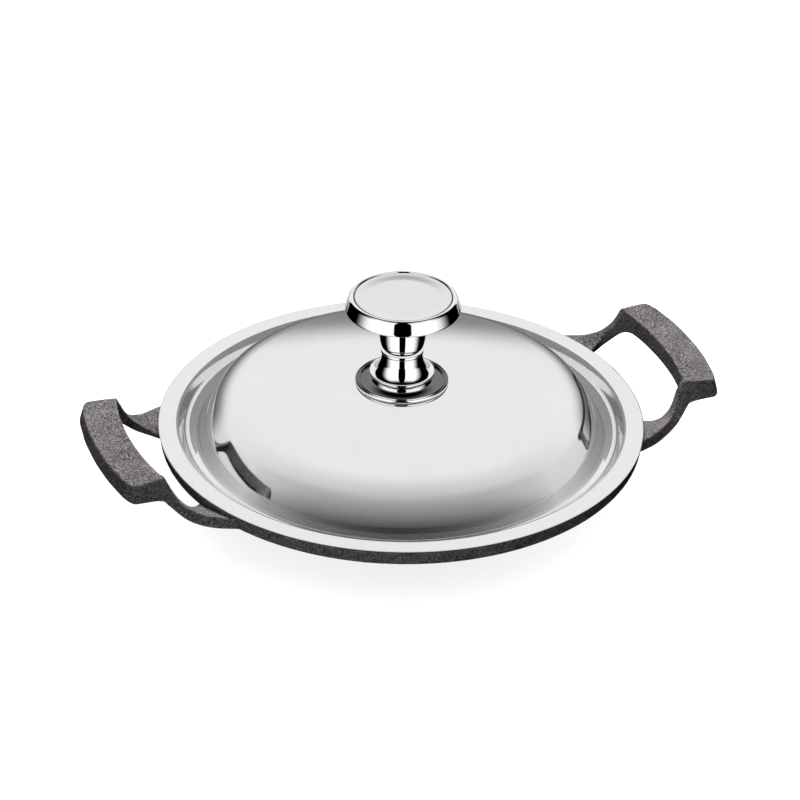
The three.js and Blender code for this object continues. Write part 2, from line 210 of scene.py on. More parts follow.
def seasoned_iron():
    """Oiled iron: dark with a brown cast, grain and specks under a millimetre, cloudy patches, brighter
    worn edges."""
    material, shader, place = new_finish("seasoned_iron", Metallic=0.0, Specular_IOR_Level=0.5)
    grain = place.noise(1300, 3, 0.75)
    cloud = place.noise(60, 4, 0.6)
    speck = place.noise(1700, 1, 0.5).step(0.56, 0.7)
    pits = place.node("ShaderNodeTexVoronoi", {}, {"Vector": place, "Scale": 900}).step(0.5, 0.15)
    edge = place.node("ShaderNodeAttribute", {"attribute_name": "worn"}, {}, 2)
    worn = edge * place.noise(220, 3, 0.6).step(0.4, 0.7)
    tone = (grain * 0.8 + cloud * 0.2).step(0.36, 0.68)
    colour = tone.mix((0.009, 0.007, 0.008, 1), (0.115, 0.108, 0.111, 1))
    colour = (worn * 0.45).mix(colour, (0.2, 0.188, 0.19, 1))
    colour = (speck * 0.5).mix(colour, (0.3, 0.282, 0.288, 1))
    roughness = 0.64 + grain * 0.16 - worn * 0.15 - cloud * 0.1
    relief = grain * 0.6 + speck * 0.25 - pits * 0.35 + cloud * 0.5
    normal = relief.bump(0.26 * mm, 0.9)
    place.feed(shader, {"Base Color": colour, "Roughness": roughness, "Normal": normal})
    return material


def bowl_profile():
    """Base, flared wall, upright lip, rim, inside wall and floor, each corner softened."""
    lip_foot = pan_height - lip_height
    flare = math.atan2(lip_foot, pan_radius - base_radius)
    rim_inside = pan_radius - rim_width
    inside_foot = lip_foot + wall_thickness / math.cos(flare) - rim_width * math.tan(flare)
    floor_edge = rim_inside - (inside_foot - floor_thickness) / math.tan(flare)
    corners = np.array([
        (0, 0),
        (base_radius, 0),
        (lip_radius, lip_foot),
        (lip_radius, pan_height),
        (rim_inside, pan_height),
        (rim_inside, inside_foot),
        (floor_edge, floor_thickness),
        (0, floor_thickness),
    ])
    return softened(corners, np.array([0, 3, 2, 0.9, 0.9, 2.5, 12, 0]) * mm, 10)


# Stations from the middle of the right grip to the end of one arm inside the lip. Each has four corners in
# millimetres, with heights from the lid's flange: inner top, outer top, outer bottom and inner bottom.
handle_stations = [
    [(127.8, 0, 15.6), (143.4, 0, 14.7), (144.9, 0, 6.6), (127.4, 0, 6.5)],
    [(127.3, 12, 15.6), (142.9, 13.5, 14.7), (144.4, 14, 6.6), (126.9, 12, 6.5)],
    [(126.2, 22, 15.6), (141.4, 24.5, 14.7), (143, 25.5, 6.6), (125.8, 22, 6.4)],
    [(125.4, 26.5, 15.6), (139.7, 33, 14.7), (141.4, 34.5, 6.6), (125, 26.3, 6.2)],
    [(125, 29, 15.6), (136.6, 37.6, 14.9), (138, 40, 6.6), (124.4, 28.4, 5.6)],
    [(124.6, 31, 15.6), (130, 36.9, 15.2), (131, 40.3, 6.6), (123.6, 30.2, 4.8)],
    [(124.2, 33, 15.6), (123.8, 35.6, 15.6), (125.5, 40.4, 5.8), (122.4, 31.8, 3.6)],
    [(121.4, 33, 10.8), (122, 35.9, 12.6), (123.4, 41.2, 3.8), (121, 33, 2)],
    [(120, 33.9, 8.3), (120, 37.4, 8), (120.4, 42.9, 0.8), (119.2, 34.2, 0)],
    [(118, 35.4, 4.8), (118, 39.5, 4.6), (117.6, 44.2, -1.8), (117.2, 35.4, -2.2)],
    [(115.8, 36.1, 1.9), (115.6, 41.4, 2), (115, 45, -3.8), (115, 36.1, -4.2)],
    [(113, 35.7, -1.1), (112.6, 43.3, 0.4), (112, 46, -5.4), (112.2, 35.7, -5.8)],
    [(109.8, 34.1, -3.1), (108.6, 45.3, -0.9), (108, 47.9, -6.5), (109.2, 34.1, -6.8)],
    [(106.6, 31, -4.4), (104, 48, -1.6), (103.8, 49.9, -7), (106, 31, -7.2)],
    [(103.4, 28.9, -5), (94.6, 52.2, -2.2), (94.3, 52.8, -7.6), (103, 28.5, -7.6)],
]
handle_cuts = np.array([1.1, 1.2, 1.7, 1.3]) * mm
flange_height = 35 * mm
steps_between_stations = 9


def flowing(stations, steps):
    """Stations joined by cubic curves. The slope at a station is the harmonic mean of the steps on both
    sides, or zero where they differ in sign, so no curve passes beyond its stations."""
    step = np.diff(stations, axis=0)
    before, after = step[:-1], step[1:]
    product = before * after
    total = np.where(product > 0, before + after, 1)
    middle = np.where(product > 0, 2 * product / total, 0)
    slope = np.concatenate([step[:1], middle, step[-1:]])
    t = np.linspace(0, 1, steps, endpoint=False).reshape(1, -1, 1, 1)
    start, end = stations[:-1, None], stations[1:, None]
    leave, arrive = slope[:-1, None], slope[1:, None]
    curve = start + leave * t + (3 * (end - start) - 2 * leave - arrive) * t ** 2
    curve = curve + (2 * (start - end) + leave + arrive) * t ** 3
    return np.concatenate([curve.reshape(-1, *stations.shape[1:]), stations[-1:]])


def handle(side):
    """Four corner lines through the stations, mirrored about the grip's middle, with the corners softened
    all along. Both ends close on a point inside the lip. The second handle is the first turned half
    round."""
    half = np.array(handle_stations) * mm + (0, 0, flange_height)
    mirrored = half[:0:-1] * (1, -1, 1)
    corners = flowing(np.concatenate([mirrored, half]), steps_between_stations) * (side, side, 1)
    rings, bend = softened(corners, handle_cuts)
    middles = rings[[0, -1]].mean(axis=1, keepdims=True) + np.zeros_like(rings[[0, -1]])
    rings = np.concatenate([middles[:1], rings, middles[1:]])
    rows, columns = rings.shape[:2]
    return (rings.reshape(-1, 3), woven(rows, columns)), np.tile(bend, rows)


bowl_points, bowl_bend = bowl_profile()
right_handle, right_worn = handle(1)
left_handle, left_worn = handle(-1)
casting = piece(
    "pan_with_handles",
    [turned(bowl_points, pan_segments, ring=False), right_handle, left_handle],
    seasoned_iron(),
    [np.repeat(bowl_bend, pan_segments), right_worn, left_worn],
)
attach(casting, "pan")
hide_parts("pan_casting")

# Lid
# One disc of stainless sheet pressed to a flat flange, a recess that drops inside the rim and a dome with a
# steep wall and a nearly flat crown. It is mirror polished on both faces, and lies loose on the rim.
lid_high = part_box("lid_shell")[1]
lid_radius = lid_high.x
crown_height = lid_high.z
sheet = 1 * mm
recess_depth = 6.6 * mm
recess_angle = math.radians(61)
recess_top_bend = 0.6 * mm
recess_foot_bend = 5 * mm
rim_clearance = 1.7 * mm
trough_floor = 1.1 * mm
crease_bend = 1.5 * mm
dome_wall_angle = math.radians(67)
dome_wall_radius = 110 * mm
knuckle_radius = 15 * mm
crown_radius = 600 * mm
screw_hole = 3.3 * mm
lid_segments = 288
up = math.pi / 2


def bend_points(centre, radius, start, stop, steps):
    """Points on an arc about a centre, from one direction to another."""
    angle = np.linspace(start, stop, steps)
    return np.asarray(centre) + radius * np.stack([np.cos(angle), np.sin(angle)], axis=-1)


def sheet_face(depth):
    """One face of the sheet from its flange to the screw hole, a depth below the outer face. Every bend
    is an arc that keeps its centre, so the sheet is even: recess edge, recess foot, crease, bowed wall,
    knuckle and crown. The knuckle touches both the wall's circle and the crown's, which gives the
    triangle of their centres."""
    flange_top = pan_height + sheet
    recess_floor = flange_top - recess_depth
    top = (pan_radius - rim_width - rim_clearance, pan_height - recess_top_bend)
    bends = recess_top_bend + sheet + recess_foot_bend
    straight = recess_depth - bends * (1 - math.cos(recess_angle))
    foot_radius = top[0] - bends * math.sin(recess_angle) - straight / math.tan(recess_angle)
    crease_radius = foot_radius - trough_floor
    dome_base = crease_radius - crease_bend * math.tan(dome_wall_angle / 2)
    crown_centre = crown_height - crown_radius
    wall_centre = (
        dome_base - dome_wall_radius * math.sin(dome_wall_angle),
        recess_floor - dome_wall_radius * math.cos(dome_wall_angle),
    )
    across = math.hypot(wall_centre[0], wall_centre[1] - crown_centre)
    to_crown = crown_radius - knuckle_radius
    to_wall = dome_wall_radius - knuckle_radius
    opening = math.acos((across ** 2 + to_crown ** 2 - to_wall ** 2) / (2 * across * to_crown))
    shoulder = math.atan2(wall_centre[0], wall_centre[1] - crown_centre) + opening
    knuckle = (to_crown * math.sin(shoulder), crown_centre + to_crown * math.cos(shoulder))
    join = math.atan2(knuckle[0] - wall_centre[0], knuckle[1] - wall_centre[1])
    hole = math.asin(screw_hole / (crown_radius - depth))
    return np.concatenate([
        [(lid_radius - sheet, flange_top - depth)],
        bend_points(top, recess_top_bend + sheet - depth, up, up + recess_angle, 10),
        bend_points((foot_radius, recess_floor + recess_foot_bend), recess_foot_bend + depth,
                    recess_angle - up, -up, 14),
        bend_points((crease_radius, recess_floor + crease_bend), crease_bend + depth,
                    -up, -up - dome_wall_angle, 10),
        bend_points(wall_centre, dome_wall_radius - depth, up - dome_wall_angle, up - join, 20),
        bend_points(knuckle, knuckle_radius - depth, up - join, up - shoulder, 32)[1:],
        bend_points((0, crown_centre), crown_radius - depth, up - shoulder, up - hole, 24)[1:],
    ])


def round_marks(place, scale, detail):
    """Noise over the distance from the axis, so that its marks run round it."""
    flat = place.node("ShaderNodeVectorMath", {"operation": "MULTIPLY"}, {0: place, 1: (1, 1, 0)})
    radius = flat.node("ShaderNodeVectorMath", {"operation": "LENGTH"}, {0: flat}, "Value")
    inputs = {"W": radius, "Scale": scale, "Detail": detail}
    return radius.node("ShaderNodeTexNoise", {"noise_dimensions": "1D"}, inputs)


def polished_steel():
    """Mirror polish with faint buffing marks round the axis and slow changes in its haze."""
    material, shader, place = new_finish("polished_steel", Metallic=1.0)
    marks = round_marks(place, 2600, 2)
    haze = place.noise(28, 3, 0.55)
    tone = (haze * 0.6 + marks * 0.4).step(0.25, 0.75)
    colour = tone.mix((0.79, 0.79, 0.79, 1), (0.825, 0.825, 0.827, 1))
    roughness = 0.045 + haze * 0.03 + marks * 0.015
    normal = (marks + haze * 0.4).bump(0.002 * mm, 0.15)
    place.feed(shader, {"Base Color": colour, "Roughness": roughness, "Normal": normal})
    return material


flange_edge = bend_points((lid_radius - sheet / 2, pan_height + sheet / 2), sheet / 2, -up, up, 9)
lid_profile = np.concatenate([sheet_face(sheet)[::-1], flange_edge, sheet_face(0)])
lid = piece("domed_lid", [turned(lid_profile, lid_segments)], polished_steel())
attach(lid, "lid")
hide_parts("lid_shell")

# Rosette
# A thin chromed plate that follows the crown under the knob, with two round beads rolled round its edge.
# The knob's screw passes through it and clamps it between the foot and the lid.
rosette_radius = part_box("knob_rosette")[1].x
rosette_seat_gap = 0.2 * mm
rosette_thickness = 1 * mm
bead_width = 2.2 * mm
bead_height = 0.5 * mm
hollow_depth = 0.7 * mm
hollow_end = 14 * mm
knob_segments = 192


def chrome_plate():
    """Bright nickel chrome: a clear mirror, a little cool, with slight handling haze."""
    material, shader, place = new_finish("chrome_plate", Metallic=1.0)
    haze = place.noise(90, 4, 0.6)
    wave = place.noise(160, 1, 0.5)
    colour = haze.step(0.3, 0.7).mix((0.83, 0.83, 0.84, 1), (0.87, 0.87, 0.875, 1))
    roughness = 0.018 + haze.step(0.35, 0.8) * 0.03
    normal = wave.bump(0.004 * mm, 0.1)
    place.feed(shader, {"Base Color": colour, "Roughness": roughness, "Normal": normal})
    return material


def crown_sag(radius):
    """How far the crown lies below its top at a radius."""
    return crown_radius - np.sqrt(crown_radius ** 2 - np.square(radius))


def rosette_profile():
    """Underside along the crown, edge, two beads as half waves of a sine, a hollow that rises as the
    square of the way in, then the seat for the foot."""
    under = np.linspace(screw_hole, rosette_radius - 0.2 * mm, 12)
    under_height = crown_height + rosette_seat_gap - crown_sag(under)
    edge_height = crown_height + rosette_seat_gap + rosette_thickness - crown_sag(rosette_radius)
    t = np.linspace(0, 1, 33)
    bead_radius = rosette_radius - bead_width * t
    bead_top = edge_height + bead_height * np.abs(np.sin(2 * np.pi * t))
    inward = np.linspace(0, 1, 20)
    hollow_start = rosette_radius - bead_width - 0.15 * mm
    hollow_radius = hollow_start + (hollow_end - hollow_start) * inward
    seat_radius = np.concatenate([hollow_radius, np.linspace(hollow_end, screw_hole, 6)[1:]])
    drop = np.concatenate([hollow_depth * (1 - inward ** 2), np.zeros(5)])
    seat_height = edge_height + (crown_sag(rosette_radius) - crown_sag(seat_radius)) - drop
    edge = [(rosette_radius, under_height[-1] + 0.2 * mm)]
    return np.concatenate([
        np.stack([under, under_height], axis=-1),
        edge,
        np.stack([bead_radius, bead_top], axis=-1),
        np.stack([seat_radius, seat_height], axis=-1),
    ])


chrome = chrome_plate()
rosette = piece("knob_rosette_plate", [turned(rosette_profile(), knob_segments)], chrome)
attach(rosette, "lid")
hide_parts("knob_rosette")

# Knob foot
# Turned brass, chromed: a low drum with a rounded ring on it, then a hollow flare up to a narrow stem that
# ends in a small lip. It stands on the rosette, and the screw draws it down.
foot_low, foot_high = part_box("knob_foot")
foot_radius = 14.3 * mm
foot_ring_radius = 14.6 * mm
foot_ring_base = 3.1 * mm
foot_ring_top = 4.2 * mm
stem_radius = 9.2 * mm
stem_lip_radius = 9.7 * mm
stem_lip_base = foot_high.z - foot_low.z - 1.4 * mm
foot_top = foot_high.z - foot_low.z


def rounded(rows, steps=8):
    """Rows of (radius, height, cut) as a softened profile."""
    rows = np.array(rows)
    return softened(rows[:, :2], rows[:, 2], steps)[0]


def swept(start, control, end, steps=24):
    """A quadratic curve from start to end that leaves and arrives along the lines to its control point."""
    t = np.linspace(0, 1, steps)[:, None]
    return (1 - t) ** 2 * np.array(start) + 2 * t * (1 - t) * np.array(control) + t ** 2 * np.array(end)


foot_profile = np.concatenate([
    rounded([
        (screw_hole, 0, 0),
        (foot_radius - 0.3 * mm, 0, 0.8 * mm),
        (foot_radius, foot_ring_base, 0.15 * mm),
        (foot_ring_radius, foot_ring_base + 0.1 * mm, 0.25 * mm),
        (foot_ring_radius, foot_ring_top, 0.45 * mm),
        (foot_radius - 0.6 * mm, foot_ring_top, 0),
    ]),
    swept(
        (foot_radius - 0.7 * mm, foot_ring_top + 0.05 * mm),
        (stem_radius + 0.2 * mm, foot_ring_top + 2 * mm),
        (stem_radius, stem_lip_base),
    ),
    rounded([
        (stem_radius, stem_lip_base, 0),
        (stem_lip_radius, stem_lip_base + 0.3 * mm, 0.2 * mm),
        (stem_lip_radius, foot_top, 0.4 * mm),
        (screw_hole, foot_top, 0),
    ]),
])
foot = piece("knob_turned_foot", [turned(foot_profile + (0, foot_low.z), knob_segments)], chrome)
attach(foot, "lid")
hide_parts("knob_foot")

# Knob neck
# A turned and chromed cup with a round bottom. It stands on its narrow waist on the foot's lip and widens a
# little towards the head that it carries.
neck_low, neck_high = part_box("knob_neck")
neck_radius = neck_high.x
neck_height = neck_high.z - neck_low.z
neck_waist = 7.6 * mm
neck_cup_radius = 10.6 * mm
neck_cup_height = 12 * mm
neck_profile = np.concatenate([
    [(screw_hole, 0), (neck_waist - 0.1 * mm, 0)],
    swept((neck_waist, 0), (neck_cup_radius, 0.2 * mm), (neck_radius, neck_cup_height), 32),
    [(neck_radius, neck_height), (screw_hole, neck_height)],
])
neck = piece("knob_turned_neck", [turned(neck_profile + (0, neck_low.z), knob_segments)], chrome)
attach(neck, "lid")
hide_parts("knob_neck")

# Knob head
# A broad turned and chromed disc, widest near its underside, with a flat ring round a shallow recess on
# top. The screw's thread ends in a blind hole in its underside.
head_low, head_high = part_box("knob_head")
head_radius = head_high.x
head_height = head_high.z - head_low.z
head_bottom_radius = 24.4 * mm
head_belly_height = 1.3 * mm
head_top_radius = 23.5 * mm
head_ring_width = 1.2 * mm
head_recess = 1.5 * mm
thread_depth = 3.8 * mm
head_profile = rounded([
    (0, thread_depth, 0),
    (screw_hole, thread_depth, 0),
    (screw_hole, 0, 0),
    (head_bottom_radius, 0, 0.7 * mm),
    (head_radius, head_belly_height, 0.8 * mm),
    (head_top_radius + 0.9 * mm, head_height - 0.8 * mm, 0.5 * mm),
    (head_top_radius, head_height, 0.4 * mm),
    (head_top_radius - head_ring_width, head_height, 0.3 * mm),
    (head_top_radius - head_ring_width, head_height - head_recess, 0),
    (0, head_height - head_recess, 0),
])
head_surface = turned(head_profile + (0, head_low.z), knob_segments, ring=False)
head = piece("knob_turned_head", [head_surface], chrome)
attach(head, "lid")
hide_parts("knob_head")

# Knob plate
# A plain steel disc pressed into the head's recess. Its face is dished with a soft cove round its edge and
# finished on the lathe, so very fine rings run round it.
plate_low, plate_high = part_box("knob_plate")
plate_clearance = 0.3 * mm
plate_radius = head_top_radius - head_ring_width - plate_clearance
plate_thickness = plate_high.z - plate_low.z
plate_dish = 0.65 * mm
groove_width = 0.4 * mm
groove_floor = 0.3 * mm
cove_start = 15.6 * mm
cove_end = 21.2 * mm


def turned_steel():
    """Lathe-turned steel: fine rings round the axis in height and gloss under a soft haze."""
    material, shader, place = new_finish("turned_steel", Metallic=1.0)
    rings = round_marks(place, 4200, 3)
    haze = place.noise(120, 3, 0.6)
    colour = rings.step(0.3, 0.7).mix((0.78, 0.78, 0.78, 1), (0.84, 0.84, 0.84, 1))
    roughness = 0.16 + rings * 0.08 + haze * 0.05
    normal = rings.bump(0.006 * mm, 0.3)
    place.feed(shader, {"Base Color": colour, "Roughness": roughness, "Normal": normal})
    return material


def plate_profile():
    """Flat underside, a low rim that fills the recess, a groove round the face, and a top that rises by a
    smooth step from the dish to the groove."""
    face_radius = plate_radius - groove_width
    radius = np.linspace(face_radius - 0.25 * mm, 0, 48)
    t = np.clip((radius - cove_start) / (cove_end - cove_start), 0, 1)
    top = plate_thickness - plate_dish * (1 - t * t * (3 - 2 * t))
    edge = rounded([
        (0, 0, 0),
        (plate_radius, 0, 0.1 * mm),
        (plate_radius, groove_floor, 0.05 * mm),
        (face_radius, groove_floor, 0.05 * mm),
        (face_radius, plate_thickness, 0.12 * mm),
        (face_radius - 0.25 * mm, plate_thickness, 0),
    ])
    return np.concatenate([edge, np.stack([radius, top], axis=-1)])


plate_surface = turned(plate_profile() + (0, plate_low.z), knob_segments, ring=False)
plate = piece("knob_plain_plate", [plate_surface], turned_steel())
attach(plate, "lid")
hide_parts("knob_plate")

# Painted shade round the plate
# A near-black ring fills the groove round the plate's face, up to a little below the face. It is painted
# shade that stands in for the shade in the gap, so a thin dark line shows between plate and ring.
groove_shade_low = Vector((0, 0, plate_low.z + groove_floor))
groove_shade_high = Vector((plate_radius + 0.15 * mm, 0, plate_high.z - 0.1 * mm))
groove_shade_inside = plate_radius - groove_width - 0.05 * mm


def painted_groove_shade():
    """Near-black painted shade for the plate's groove: a fine grain and a few paler spots on a satin
    ground.
    """
    material, shader, place = new_finish("painted_groove_shade", Metallic=0.0, Specular_IOR_Level=0.3)
    grain = place.noise(3000, 3, 0.6)
    colour = grain.step(0.4, 0.8).mix((0.012, 0.012, 0.013, 1), (0.03, 0.03, 0.032, 1))
    normal = grain.bump(0.03 * mm, 0.5)
    place.feed(shader, {"Base Color": colour, "Roughness": 0.5 + grain * 0.2, "Normal": normal})
    return material


def plain_ring(low, high, inside, cut):
    """A flat ring from one height to another, with its four corners softened."""
    return rounded([
        (inside, low.z, cut),
        (high.x, low.z, cut),
        (high.x, high.z, cut),
        (inside, high.z, cut),
    ])


# This ring is painted shade: a dark piece that stands in for the shade in the gap round the plate.
groove_shade_ring = turned(plain_ring(groove_shade_low, groove_shade_high, groove_shade_inside, 0.08 * mm), knob_segments)
groove_shade = piece("knob_plate_groove_shade", [groove_shade_ring], painted_groove_shade())
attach(groove_shade, "lid")

# Seal
# A soft ring of grey silicone, moulded in one piece. The screw clamps it under the crown, where it keeps
# steam in and spreads the washer's load.
seal_low, seal_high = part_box("knob_seal")
fastener_segments = 96


def silicone():
    """Matt grey rubber with a fine moulded grain and some dust."""
    material, shader, place = new_finish("grey_silicone", Metallic=0.0, Specular_IOR_Level=0.4)
    grain = place.noise(2600, 3, 0.6)
    dust = place.noise(300, 4, 0.6).step(0.5, 0.8)
    colour = (dust * 0.5).mix((0.085, 0.085, 0.09, 1), (0.15, 0.15, 0.155, 1))
    normal = grain.bump(0.05 * mm, 0.5)
    place.feed(shader, {"Base Color": colour, "Roughness": 0.6 + grain * 0.2, "Normal": normal})
    return material


seal_ring = turned(plain_ring(seal_low, seal_high, screw_hole, 0.4 * mm), fastener_segments)
seal = piece("knob_silicone_seal", [seal_ring], silicone())
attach(seal, "lid")
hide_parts("knob_seal")

# Washers
# A stamped flat washer and a split spring washer, both zinc plated, lie between the seal and the screw's
# head. The spring washer is square wire, pressed flat by the tight screw.
washer_low, washer_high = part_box("knob_washer")
spring_low, spring_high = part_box("knob_spring_washer")
spring_split = math.radians(12)
washer_cut = 0.2 * mm


def zinc_plate():
    """Bright zinc over steel: bluish, with a crystalline cloud, fine scratches and dull patches."""
    material, shader, place = new_finish("zinc_plate", Metallic=1.0)
    cloud = place.noise(420, 4, 0.6)
    crystal = place.node("ShaderNodeTexVoronoi", {}, {"Vector": place, "Scale": 1500})
    tone = (cloud * 0.6 + crystal * 0.4).step(0.2, 0.8)
    colour = tone.mix((0.5, 0.51, 0.54, 1), (0.66, 0.67, 0.69, 1))
    roughness = 0.26 + cloud * 0.22
    normal = crystal.bump(0.02 * mm, 0.4)
    place.feed(shader, {"Base Color": colour, "Roughness": roughness, "Normal": normal})
    return material


def split_ring(low, high, inside, split, cut):
    """A four-cornered section with softened corners carried round Z from one side of the split to the
    other."""
    corners = np.array([(inside, low.z), (high.x, low.z), (high.x, high.z), (inside, high.z)])
    section = softened(corners, np.full(4, cut))[0][::-1]
    angle = np.linspace(split / 2, 2 * np.pi - split / 2, fastener_segments)[:, None]
    radius, height = section.T
    rings = np.stack([radius * np.cos(angle), radius * np.sin(angle), height + 0 * angle], axis=-1)
    middles = rings[[0, -1]].mean(axis=1, keepdims=True) + np.zeros_like(rings[[0, -1]])
    rings = np.concatenate([middles[:1], rings, middles[1:]])
    return rings.reshape(-1, 3), woven(*rings.shape[:2])


zinc = zinc_plate()
washer_ring = turned(plain_ring(washer_low, washer_high, screw_hole, washer_cut), fastener_segments)
washer = piece("knob_flat_washer", [washer_ring], zinc)
spring_ring = split_ring(spring_low, spring_high, screw_hole, spring_split, washer_cut)
spring = piece("knob_split_washer", [spring_ring], zinc)
for ring, node in ((washer, "knob_washer"), (spring, "knob_spring_washer")):
    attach(ring, "lid")
    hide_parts(node)

# Screw
# A zinc-plated cap screw comes up from below through washers, seal, lid, rosette, foot and neck into the
# head. Its cylinder head is plain, with a hexagon socket and a rounded edge.
screw_low, screw_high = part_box("knob_screw")
screw_head_radius = screw_high.x
screw_shank_radius = 3 * mm
screw_head_height = 3.8 * mm
socket_corner = 2.3 * mm
socket_depth = 2.2 * mm


def screw_surface():
    """Socket floor, socket wall, head and shank carried round Z. In the socket the radius follows a
    hexagon: the distance to a flat over the cosine of the angle from the flat's middle."""
    rows = [
        (0, socket_depth, 0),
        (socket_corner, socket_depth, 0.1 * mm),
        (socket_corner, 0, 0.15 * mm),
        (screw_head_radius, 0, 0.5 * mm),
        (screw_head_radius, screw_head_height, 0.3 * mm),
        (screw_shank_radius, screw_head_height, 0.15 * mm),
        (screw_shank_radius, screw_high.z - screw_low.z, 0.5 * mm),
        (0, screw_high.z - screw_low.z, 0),
    ]
    profile = rounded(rows)
    points, quads = turned(profile, fastener_segments, ring=False)
    angle = np.arange(fastener_segments) * 2 * np.pi / fastener_segments
    from_flat = (angle + np.pi / 6) % (np.pi / 3) - np.pi / 6
    hexagon = math.cos(math.pi / 6) / np.cos(from_flat)
    in_socket = np.arange(len(profile)) < 3 * len(profile) // len(rows)
    shrink = np.where(in_socket[:, None], hexagon, 1).reshape(-1, 1)
    shrink = np.concatenate([shrink, shrink, np.ones_like(shrink)], axis=1)
    return points * shrink + (0, 0, screw_low.z), quads


screw = piece("knob_cap_screw", [screw_surface()], zinc)
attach(screw, "lid")
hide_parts("knob_screw")

# Camera
# A long lens stands about a metre and a half off, well above the table and a little to the left.
camera_distance = 1.65
camera_elevation = math.radians(31.2)
camera_azimuth = math.radians(-21.25)
camera_aim = Vector((0, 0, flange_height))
camera_pitch = math.radians(0.2935)
camera_yaw = math.radians(0.023)
camera_roll = math.radians(1.0)
camera_data = bpy.data.cameras.new("camera")
camera_data.sensor_width = 36
camera_data.lens = 163.76
camera = bpy.data.objects.new("camera", camera_data)
bpy.context.scene.collection.objects.link(camera)
towards_camera = Vector((
    math.sin(camera_azimuth) * math.cos(camera_elevation),
    -math.cos(camera_azimuth) * math.cos(camera_elevation),
    math.sin(camera_elevation),
))
turn = (-towards_camera).to_track_quat("-Z", "Y").to_matrix()
turn = turn @ Matrix.Rotation(camera_pitch, 3, "X") @ Matrix.Rotation(camera_yaw, 3, "Y")
turn = turn @ Matrix.Rotation(camera_roll, 3, "Z")
camera.matrix_world = Matrix.Translation(camera_aim + towards_camera * camera_distance) @ turn.to_4x4()
bpy.context.scene.camera = camera

# Floor
# A wide sheet of pale paper that the pan stands on. It takes a faint shadow, and the polished steel doesn't
# mirror it.
floor_reach = 4
floor_drop = 0.2 * mm


def disc_surface(radius, height):
    """A flat disc: rings of points from the middle to the radius."""
    profile = np.stack([np.linspace(radius, 0, 5), np.full(5, height)], axis=-1)
    return turned(profile, 64, ring=False)


def pale_paper():
    """Matt white paper with a faint fibre."""
    material, shader, place = new_finish("pale_paper", Metallic=0.0, Roughness=0.9, Specular_IOR_Level=0.1)
    fibre = place.noise(900, 3, 0.6)
    place.feed(shader, {"Base Color": fibre.mix((0.89, 0.89, 0.89, 1), (0.91, 0.91, 0.91, 1))})
    return material


floor = piece("floor", [disc_surface(floor_reach, -floor_drop)], pale_paper())
floor.visible_glossy = False
floor.visible_diffuse = False

# Light tent
# A white sphere glows all round the table: brightest high behind the pan, fading towards the camera and
# dark low in front of it and low behind. It lights the lid and the floor.
tent_radius = 3.9
tent_segments = 48
ground_view = Vector((towards_camera.x, towards_camera.y, 0)).normalized()
front_levels = [
    (0.11, 0.05),
    (0.178, 0.094),
    (0.222, 0.158),
    (0.278, 0.284),
    (0.333, 0.435),
    (0.406, 0.6),
    (0.467, 0.77),
    (0.556, 0.85),
    (0.8, 0.97),
    (0.889, 1.0),
]
along_levels = [
    (0.1, 1.0),
    (0.2, 0.98),
    (0.34, 0.92),
    (0.51, 0.82),
    (0.68, 0.72),
    (0.83, 0.62),
    (1.0, 0.62),
]


def bare_finish(name):
    """A material with an empty tree apart from its output, and its object coordinates."""
    material = bpy.data.materials.new(name)
    material.use_nodes = True
    tree = material.node_tree
    tree.nodes.remove(tree.nodes["Principled BSDF"])
    place = Socket(tree).node("ShaderNodeTexCoord", {}, {}, "Object")
    return material, tree.nodes["Material Output"], place


def dotted(vector, fixed):
    """How far a vector reaches along a fixed direction."""
    settings = {"operation": "DOT_PRODUCT"}
    return vector.node("ShaderNodeVectorMath", settings, {0: vector, 1: fixed}, "Value")


def tent_glow():
    """Light by direction, as a product of three: a ramp along the view's ground line, a dark front whose
    edge rises with the root of the reach towards the camera, and a grey band low behind, whose edge is
    soft towards the sides."""
    material, output, place = bare_finish("tent_glow")
    way = place.node("ShaderNodeVectorMath", {"operation": "NORMALIZE"}, {0: place})
    along = dotted(way, ground_view)
    rise = dotted(way, (0, 0, 1))
    reach = along.maths("SQRT", along.maths("MAXIMUM", along, 0.0), 0.0)
    over = rise - reach * 0.66 + 0.2
    front = along.node("ShaderNodeValToRGB", {"stops": front_levels}, {"Fac": (over + 0.3) * 1.111})
    ramp = along.node("ShaderNodeValToRGB", {"stops": along_levels}, {"Fac": along * 0.5 + 0.5})
    side = dotted(way, (-ground_view.y, ground_view.x, 0))
    crisp = rise.step(0.405, 0.31)
    soft = rise.step(0.5, -0.05)
    low_behind = along.step(-0.55, -0.8) * (crisp + (soft - crisp) * (side * side).step(0.0, 0.06))
    glow = front * ramp * (1 - low_behind * 0.72)
    place.feed(output, {"Surface": place.node("ShaderNodeEmission", {}, {"Color": glow})})
    return material


tent_arch = bend_points((0, 0), tent_radius, up, -up, 33)
tent = piece("light_tent", [turned(tent_arch, tent_segments, ring=False)], tent_glow())
tent.visible_camera = False


def linked(name, members):
    """A collection that a light is limited to."""
    group = bpy.data.collections.new(name)
    for member in members:
        group.objects.link(member)
    return group


tent_lit = linked("lit_by_tent", [lid, floor, groove_shade, seal, washer, spring, screw])
tent.light_linking.receiver_collection = tent_lit

# Knob lights
# The chrome has tents of its own: white bands left and right of the camera, a pale band behind, a dim one
# for the rosette. A card over the crown has the same bands, so the knob doesn't mirror the lid, and a dark
# flag over the trough keeps the foot of the dome dark in front. The camera sees none of them.
knob_pieces = [rosette, foot, neck, head, plate]
knob_tent_radius = 1.2
knob_tent_foot = -0.6
card_gap = 0.5 * mm
card_inside = rosette_radius + 0.6 * mm
card_outside = 150 * mm
card_floor = 51.6 * mm
flag_inside = 92.9 * mm
flag_outside = 101.9 * mm
flag_height = flange_height + 0.2 * mm
flag_levels = [
    (0.0, 0.22),
    (0.41, 0.27),
    (0.585, 0.42),
    (0.71, 0.68),
    (0.785, 0.75),
    (0.85, 0.45),
    (0.94, 0.17),
    (1.0, 0.05),
]


